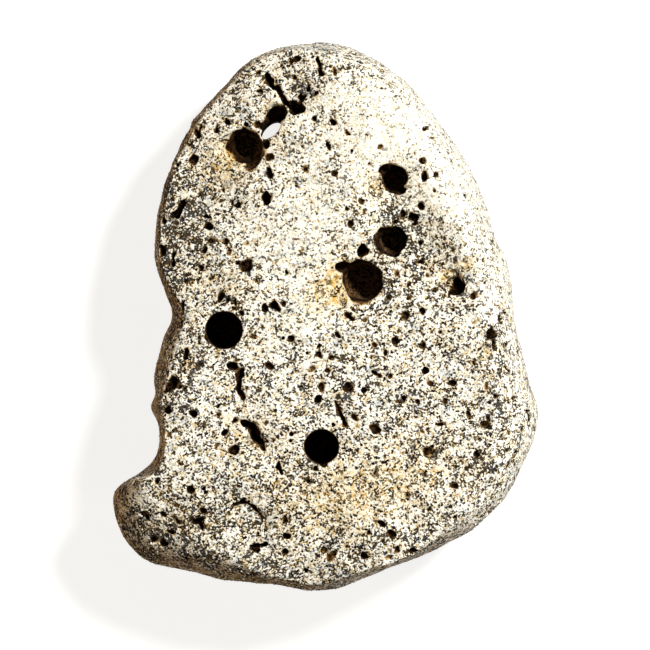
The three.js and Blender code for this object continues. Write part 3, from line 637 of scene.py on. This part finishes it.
def mark_surface(mesh, uncut):
    """Stores how sunk, worn, stained, porous, steep (painted shade) and grainy each point of the
    stone is.
    """
    places = np.empty(3 * len(mesh.vertices), np.float32)
    mesh.vertices.foreach_get("co", places)
    places = places.reshape(-1, 3) / MM
    normals = np.empty(3 * len(mesh.vertices), np.float32)
    mesh.vertex_normals.foreach_get("vector", normals)
    right, up, out = normals[0::3], normals[1::3], normals[2::3]
    sunk = np.clip(-read(uncut, places), 0, -DEEPEST)
    upper = np.clip((places[:, 2] - WIDEST) / AREAS_FADE, 0, 1)
    seen = places[:, :2] + LEAN * (places[:, 2:] - WIDEST)
    seen_x, seen_y = seen[:, 0], seen[:, 1]
    worn = np.clip(bells(seen_x, seen_y, WORN_AREAS), 0, 1) * upper
    stained = np.clip(bells(seen_x, seen_y, STAINED_AREAS), 0, 1) * upper
    # Painted shade: the steep outer sides that look away from the key light get a darker, warmer
    # tint and more dark gaps.
    away_from_key = np.clip(0.35 - right - 0.5 * up, 0, 1)
    steep = np.clip(1.5 - 1.9 * np.abs(out), 0, 1) * away_from_key * (sunk < 0.3)
    porous = bells(seen_x, seen_y, POROUS_AREAS) * upper + 0.4 * steep
    grainy = np.clip(1 - 0.6 * worn, 0, 1) * (sunk < 0.12) * (places[:, 2] > LOWEST_GRAIN)
    set_share(mesh, "porous", np.clip(porous, 0, 1))
    set_share(mesh, "steep", steep)
    set_share(mesh, "sunk", sunk)
    set_share(mesh, "worn", worn * np.clip(1 - sunk / 0.5, 0, 1))
    set_share(mesh, "stained", stained)
    set_share(mesh, "grainy", grainy)


def stone_piece():
    """The carved stone as a mesh, with what its material and the grains need at each point."""
    stone, uncut = carve()
    grid = openvdb.FloatGrid()
    grid.copyFromArray(stone)
    points, quads = grid.convertToQuads(0.0)
    points, quads = largest_part(points, quads.astype(np.int64))
    corners = points[quads[:, :3]].astype(float)
    volume = np.einsum("ij,ij->", corners[:, 0], np.cross(corners[:, 1], corners[:, 2]))
    quads = quads[:, ::-1] if volume < 0 else quads
    piece = plain_mesh((BLOCK_LOW + points * VOXEL) * MM, quads, "carved")
    thin = piece.modifiers.new("thin out", "DECIMATE")
    thin.ratio = min(1, MOST_TRIANGLES / (2 * len(quads)))
    piece = settled(piece, "pitted_stone")
    piece.data.shade_smooth()
    mark_surface(piece.data, uncut)
    return piece


class Value:
    """A node's output. Sums, products, shares and comparisons of it add Math nodes to its tree."""

    def __init__(self, tree, socket):
        self.tree = tree
        self.socket = socket

    def output(self, name):
        return Value(self.tree, self.socket.node.outputs[name])

    def math(self, operation, other, swapped=False, clamp=False):
        pair = {0: other, 1: self} if swapped else {0: self, 1: other}
        return self.tree.add("ShaderNodeMath", {"operation": operation, "use_clamp": clamp}, pair)

    def __add__(self, other):
        return self.math("ADD", other)

    def __sub__(self, other):
        return self.math("SUBTRACT", other)

    def __rsub__(self, other):
        return self.math("SUBTRACT", other, swapped=True)

    def __mul__(self, other):
        return self.math("MULTIPLY", other)

    def __truediv__(self, other):
        return self.math("DIVIDE", other)

    def __rtruediv__(self, other):
        return self.math("DIVIDE", other, swapped=True)

    def __gt__(self, other):
        return self.math("GREATER_THAN", other)

    def __lt__(self, other):
        return self.math("LESS_THAN", other)

    __radd__ = __add__
    __rmul__ = __mul__

    def clamped(self):
        return self.math("ADD", 0.0, clamp=True)


class Tree:
    """A node tree, of a material or of Geometry Nodes."""

    def __init__(self, nodes):
        self.nodes = nodes.nodes
        self.links = nodes.links

    def add(self, kind, settings=None, values=None):
        """Adds a node: its settings first, then the values or links of its sockets."""
        node = self.nodes.new(kind)
        for name, setting in (settings or {}).items():
            if name == "stops":
                self.fill_ramp(node.color_ramp, setting)
            elif name == "interpolation":
                node.color_ramp.interpolation = setting
            else:
                setattr(node, name, setting)
        for name, value in (values or {}).items():
            if isinstance(value, Value):
                self.links.new(value.socket, node.inputs[name])
            else:
                node.inputs[name].default_value = value
        return Value(self, node.outputs[0]) if node.outputs else None

    @staticmethod
    def fill_ramp(ramp, stops):
        while len(ramp.elements) < len(stops):
            ramp.elements.new(1)
        for element, (place, colour) in zip(ramp.elements, stops):
            element.position = place
            element.color = colour

    def ramp(self, value, stops, interpolation="CONSTANT"):
        settings = {"interpolation": interpolation, "stops": stops}
        return self.add("ShaderNodeValToRGB", settings, {0: value})

    def mix(self, share, a, b, blend="MIX"):
        settings = {"data_type": "RGBA", "blend_type": blend}
        return self.add("ShaderNodeMix", settings, {0: share, 6: a, 7: b}).output(2)

    def stored(self, name):
        return self.add("ShaderNodeAttribute", {"attribute_name": name}).output("Fac")


def colour(red, green, blue):
    """A colour given in 0 to 255 as shown on a screen, as the shader needs it."""
    shown = [part / 255 for part in (red, green, blue)]
    light = [((part + 0.055) / 1.055) ** 2.4 if part > 0.04 else part / 12.92 for part in shown]
    return light + [1]


# Colours of the sand grains, of the gaps between them, of tints, and of the dirt and painted shade
# in hollows.
BLACK = colour(42, 31, 20)
SLATE = colour(82, 83, 88)
UMBER = colour(122, 92, 56)
OCHRE = colour(208, 180, 114)
TAN = colour(224, 204, 164)
GREY = colour(200, 198, 190)
CREAM = colour(243, 237, 220)
CHALK = colour(255, 254, 249)
SHADE = colour(35, 23, 11)
NAVY = colour(26, 25, 29)
# Painted shade for the steep sides that look away from the key light.
PAINTED_SHADE_WALL = colour(206, 168, 112)
HONEY = colour(230, 206, 146)
GOLD = colour(232, 196, 98)
STEEL = colour(176, 190, 208)
PEAT = colour(60, 42, 27)
SOOT = colour(46, 33, 22)
MUD = colour(50, 37, 25)
CLAY = colour(120, 95, 68)

# The kind of a grain is a number from 0 to 1. From each of these up, it has that colour.
SANDSTONE = [
    (0.0, BLACK), (0.09, SLATE), (0.14, UMBER), (0.16, OCHRE), (0.18, TAN), (0.25, GREY),
    (0.34, CREAM), (0.58, CHALK),
]

# Dirt and painted shade in hollows, pits, cracks and bores, by depth below the uncut surface as a
# share of the depth set next.
SHADE_AND_DIRT_DEPTH = 4.0
DIRT_AND_PAINTED_SHADE = [
    (0.0, CHALK), (0.03, TAN), (0.07, UMBER), (0.13, PEAT), (0.35, SOOT), (0.65, MUD), (1.0, CLAY),
]

GRAIN = 0.26  # how wide a grain is in the stone's material

# Grains that stand proud: name, colours by share, roughness, seed, smallest and largest half width.
PROUD_GRAINS = [
    ("dark_grains", [(0, BLACK), (0.6, SLATE), (0.85, UMBER)], 0.6, 21, 0.09, 0.16),
    ("pale_grains", [(0, CHALK), (0.5, CREAM), (0.8, TAN)], 0.5, 31, 0.1, 0.17),
]
GRAINS_EACH = 9300  # of each kind, about
SKIN_AREA = 9900  # square millimetres that they are scattered over, about
GRAIN_SPACING = 0.4  # from the middle of one to the next, at least


def stone_finish(name):
    """Coarse sandstone: grains of one colour each, with dark gaps, dirt and painted shade in deep
    places, and painted shade on steep sides that look away from the key light.
    """
    material = bpy.data.materials.new(name)
    material.use_nodes = True
    tree = Tree(material.node_tree)
    shader = tree.nodes["Principled BSDF"]
    place = tree.add("ShaderNodeTexCoord").output("Object")
    worn, sunk, stained, porous, steep = (
        tree.stored(share) for share in ("worn", "sunk", "stained", "porous", "steep")
    )

    def noise(across, detail, roughness=0.5):
        sizes = {"Scale": 1 / (across * MM), "Detail": detail, "Roughness": roughness}
        return tree.add("ShaderNodeTexNoise", None, {"Vector": place, **sizes})

    def cells(across, wobble):
        moved = tree.add(
            "ShaderNodeVectorMath", {"operation": "MULTIPLY_ADD"},
            {0: noise(0.35, 1.0).output("Color"), 1: (wobble * MM,) * 3, 2: place},
        )
        return tree.add("ShaderNodeTexVoronoi", None, {"Vector": moved, "Scale": 1 / (across * MM)})

    # Grains.
    grains = cells(GRAIN, 0.2)
    parts = tree.add("ShaderNodeSeparateColor", None, {0: grains.output("Color")})
    kind, level = parts.output("Red"), parts.output("Green")
    tint = tree.ramp((kind + (noise(1.6, 2.0) - 0.5) * 0.8 + worn * 0.1).clamped(), SANDSTONE)
    tint = tree.mix(worn * 0.4, tint, CREAM)

    # Iron stains, rust freckles and cool grey patches.
    tint = tree.mix(stained * (0.1 + 0.4 * stained + 0.3 * level), tint, HONEY, "MULTIPLY")
    gold = ((noise(0.8, 2.0) - 0.53) * 10).clamped() * (stained + 0.08)
    tint = tree.mix(gold.clamped() * 0.9, tint, GOLD, "MULTIPLY")
    rust = ((noise(1.5, 3.0, 0.6) - 0.55) * 8).clamped() * (1 - worn)
    tint = tree.mix(rust * (0.2 + 0.5 * level), tint, OCHRE, "MULTIPLY")
    cool = ((noise(2.2, 3.0) - 0.55) * 8).clamped() * (1 - stained)
    tint = tree.mix(cool * (0.1 + 0.6 * kind), tint, STEEL, "MULTIPLY")
    # Painted shade: a darker, warmer tint on the steep sides that look away from the key light.
    tint = tree.mix(steep * 0.9, tint, PAINTED_SHADE_WALL, "MULTIPLY")

    # Dark gaps between the grains, and pinholes.
    gaps = noise(0.3, 2.0, 0.6)
    inside = stained * stained
    patches = (noise(0.9, 2.0) - 0.5) * 0.66 + (noise(3.2, 2.0) - 0.5) * 0.36
    limit = 0.426 + patches + porous * 0.13 - worn * 0.125 - inside * 0.06
    gap = ((limit - gaps) * 32).clamped()
    holes = cells(0.9, 0.5)
    width = tree.add("ShaderNodeSeparateColor", None, {0: holes.output("Color")}).output("Blue")
    inset = (width - 0.4) * 0.5 - worn * 0.12 + porous * 0.06 - holes.output("Distance")
    pinhole = (inset * 14).clamped()
    cold = ((noise(1.3, 1.0) - 0.5) * 12 + 0.4).clamped()
    halo = ((limit + 0.07 - gaps) * 16).clamped() * (0.65 - cold * 0.5)
    tint = tree.mix(halo, tint, OCHRE, "MULTIPLY")
    dark = tree.mix(cold, SHADE, NAVY)
    tint = tree.mix(gap * 0.94, tint, dark)
    tint = tree.mix(pinhole * 0.96, tint, SHADE)

    # Dirt and painted shade: darker by depth below the uncut surface, starting deeper where the
    # stone is stained.
    dirt_and_shade = tree.ramp((sunk - 0.08 - inside * 3.2) / SHADE_AND_DIRT_DEPTH, DIRT_AND_PAINTED_SHADE, "LINEAR")
    tint = tree.mix(1.0, tint, dirt_and_shade, "MULTIPLY")
    tree.links.new(tint.socket, shader.inputs["Base Color"])

    gloss = 0.95 - (level > 0.86) * 0.4
    tree.links.new(gloss.socket, shader.inputs["Roughness"])
    height = gaps * 1.6 - gap * 0.8 - pinhole * 1.5 + level * 0.3 - grains.output("Distance") * 0.4
    bump = tree.add(
        "ShaderNodeBump", None, {"Strength": 1.0, "Distance": 0.12 * MM, "Height": height}
    )
    tree.links.new(bump.socket, shader.inputs["Normal"])
    shader.inputs["Specular IOR Level"].default_value = 0.04
    return material


def grain_finish(name, stops, roughness):
    """Sand grains of one kind: each has one shade from a short range."""
    material = bpy.data.materials.new(name)
    material.use_nodes = True
    tree = Tree(material.node_tree)
    shader = tree.nodes["Principled BSDF"]
    tint = tree.ramp(tree.stored("tone"), stops)
    tree.links.new(tint.socket, shader.inputs["Base Color"])
    shader.inputs["Roughness"].default_value = roughness
    shader.inputs["Specular IOR Level"].default_value = 0.4
    return material


def grain_scatter():
    """Geometry Nodes that sprinkle angular grains over a stone, half sunk in it."""
    group = bpy.data.node_groups.new("grain scatter", "GeometryNodeTree")
    for name, kind in (
        ("Stone", "NodeSocketGeometry"), ("Spacing", "NodeSocketFloat"),
        ("Density", "NodeSocketFloat"), ("Smallest", "NodeSocketFloat"),
        ("Largest", "NodeSocketFloat"), ("Sink", "NodeSocketFloat"),
        ("Seed", "NodeSocketInt"), ("Finish", "NodeSocketMaterial"),
    ):
        group.interface.new_socket(name, in_out="INPUT", socket_type=kind)
    group.interface.new_socket("Grains", in_out="OUTPUT", socket_type="NodeSocketGeometry")
    tree = Tree(group)
    given = tree.add("NodeGroupInput")
    seed = given.output("Seed")
    grainy = tree.add("GeometryNodeInputNamedAttribute", {"data_type": "FLOAT"}, {"Name": "grainy"})
    spots = tree.add(
        "GeometryNodeDistributePointsOnFaces",
        {"distribute_method": "POISSON"},
        {
            "Mesh": given.output("Stone"), "Distance Min": given.output("Spacing"),
            "Density Max": given.output("Density"), "Density Factor": grainy, "Seed": seed,
        },
    )
    inward = tree.add(
        "ShaderNodeVectorMath", {"operation": "SCALE"},
        {0: spots.output("Normal"), "Scale": 0 - given.output("Sink")},
    )
    sunk = tree.add("GeometryNodeSetPosition", None, {"Geometry": spots, "Offset": inward})
    ball = tree.add("GeometryNodeMeshIcoSphere", None, {"Radius": 1.0, "Subdivisions": 1})
    turn = tree.add(
        "FunctionNodeRandomValue", {"data_type": "FLOAT_VECTOR"},
        {0: (0, 0, 0), 1: (math.tau,) * 3, "Seed": seed},
    )
    size = tree.add(
        "FunctionNodeRandomValue", {"data_type": "FLOAT"},
        {2: given.output("Smallest"), 3: given.output("Largest"), "Seed": seed + 1},
    ).output(1)
    squash = tree.add(
        "FunctionNodeRandomValue", {"data_type": "FLOAT_VECTOR"},
        {0: (0.6, 0.6, 0.6), 1: (1.2, 1.2, 1.2), "Seed": seed + 2},
    )
    stretch = tree.add("ShaderNodeVectorMath", {"operation": "SCALE"}, {0: squash, "Scale": size})
    grains = tree.add(
        "GeometryNodeInstanceOnPoints", None,
        {"Points": sunk, "Instance": ball, "Rotation": turn, "Scale": stretch},
    )
    tone = tree.add(
        "FunctionNodeRandomValue", {"data_type": "FLOAT"}, {2: 0.0, 3: 1.0, "Seed": seed + 3}
    ).output(1)
    toned = tree.add(
        "GeometryNodeStoreNamedAttribute", {"data_type": "FLOAT", "domain": "INSTANCE"},
        {"Geometry": grains, "Name": "tone", "Value": tone},
    )
    solid = tree.add("GeometryNodeRealizeInstances", None, {"Geometry": toned})
    finished = tree.add(
        "GeometryNodeSetMaterial", None, {"Geometry": solid, "Material": given.output("Finish")}
    )
    tree.add("NodeGroupOutput", None, {"Grains": finished})
    return group


def grain_piece(stone, scatter, name, finish, seed, smallest, largest):
    """Grains of one kind as one mesh, scattered over the stone."""
    piece = bpy.data.objects.new("bare " + name, stone.data)
    bpy.context.scene.collection.objects.link(piece)
    modifier = piece.modifiers.new("grains", "NODES")
    modifier.node_group = scatter
    chosen = {
        "Spacing": GRAIN_SPACING * MM, "Density": GRAINS_EACH / (SKIN_AREA * MM * MM),
        "Smallest": smallest * MM, "Largest": largest * MM, "Sink": smallest / 2 * MM,
        "Seed": seed, "Finish": finish,
    }
    for socket in scatter.interface.items_tree:
        if socket.name in chosen:
            modifier[socket.identifier] = chosen[socket.name]
    return settled(piece, name)


FLOOR_HALF = 3.0  # half the floor's width, in metres
FLOOR_GAP = 0.02  # how far the floor lies below the stone


def floor_piece():
    """A wide, plain, pale floor that glows a little, as a light table does."""
    mesh = bpy.data.meshes.new("floor")
    corners = [(x * FLOOR_HALF, y * FLOOR_HALF, 0) for x, y in ((-1, -1), (1, -1), (1, 1), (-1, 1))]
    mesh.from_pydata(corners, [], [(0, 1, 2, 3)])
    piece = bpy.data.objects.new("floor", mesh)
    bpy.context.scene.collection.objects.link(piece)
    piece.location.z = -FLOOR_GAP * MM
    material = bpy.data.materials.new("pale floor")
    material.use_nodes = True
    shader = material.node_tree.nodes["Principled BSDF"]
    shader.inputs["Base Color"].default_value = (0.3, 0.3, 0.295, 1)
    shader.inputs["Roughness"].default_value = 0.9
    shader.inputs["Emission Color"].default_value = (1, 0.995, 0.98, 1)
    shader.inputs["Emission Strength"].default_value = 0.82
    mesh.materials.append(material)
    piece.visible_diffuse = False
    return piece


def aimed(thing, name, towards, distance, target):
    """An object for a light or camera, set back from a target and turned to it."""
    piece = bpy.data.objects.new(name, thing)
    bpy.context.scene.collection.objects.link(piece)
    back = Vector(towards).normalized()
    across = Vector((0, 1, 0)).cross(back).normalized()
    turn = Matrix((across, back.cross(across), back)).transposed().to_4x4()
    turn.translation = Vector(target) + back * distance
    piece.matrix_world = turn
    return piece


PHOTO_PIXELS = 650  # width and height of the photograph
PIXEL = 0.138  # width of the stone that one pixel of the photograph shows
PHOTO_MIDDLE = -1.07  # how far above the stone's middle the photograph's is
LENS, SENSOR = 500.0, 36.0


def set_camera():
    """A long lens that looks down on the stone as the photograph does."""
    camera = bpy.data.cameras.new("camera")
    camera.lens = LENS
    camera.sensor_width = SENSOR
    camera.clip_end = 50
    distance = PHOTO_PIXELS * PIXEL * LENS / SENSOR * MM
    target = (0, PHOTO_MIDDLE * MM, WIDEST * MM)
    bpy.context.scene.camera = aimed(camera, "camera", SIGHT, distance, target)


# The lights: name, direction towards it, watts and tint. Their distance and width are in metres.
LIGHTS = [
    ("key", (0.56, 0.46, 0.9), 14.8, (1, 1, 1)),
    ("bounce", (0.85, -0.5, 0.12), 4.2, (1, 0.98, 0.95)),
    ("glow", (-1, 0, 0.3), 3.0, (1, 0.82, 0.6)),
]
LIGHT_DISTANCE, LIGHT_WIDTH = 1.0, 0.2


def set_lights():
    """A key light from the upper right, a low bounce from the lower right, a warm low glow from the
    left, and a weak even fill."""
    for name, towards, energy, tint in LIGHTS:
        light = bpy.data.lights.new(name, "AREA")
        light.shape = "DISK"
        light.size = LIGHT_WIDTH
        light.energy = energy
        light.color = tint
        aimed(light, name, towards, LIGHT_DISTANCE, (0, 0, WIDEST * MM))
    world = bpy.data.worlds.new("fill")
    world.use_nodes = True
    background = world.node_tree.nodes["Background"]
    background.inputs["Color"].default_value = (1, 0.97, 0.93, 1)
    background.inputs["Strength"].default_value = 0.12
    bpy.context.scene.world = world
    bpy.context.scene.view_settings.view_transform = "Standard"


def main():
    """Builds the pieces, the floor, the camera and the lights."""
    stone = stone_piece()
    stone.data.materials.append(stone_finish("sandstone"))
    scatter = grain_scatter()
    grains = []
    for name, stops, roughness, *sizes in PROUD_GRAINS:
        finish = grain_finish(name.replace("_", " "), stops, roughness)
        grains.append(grain_piece(stone, scatter, name, finish, *sizes))
    for piece in [stone, *grains]:
        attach(piece, "root")
    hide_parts("hag_stone")
    floor_piece()
    set_camera()
    set_lights()


main()
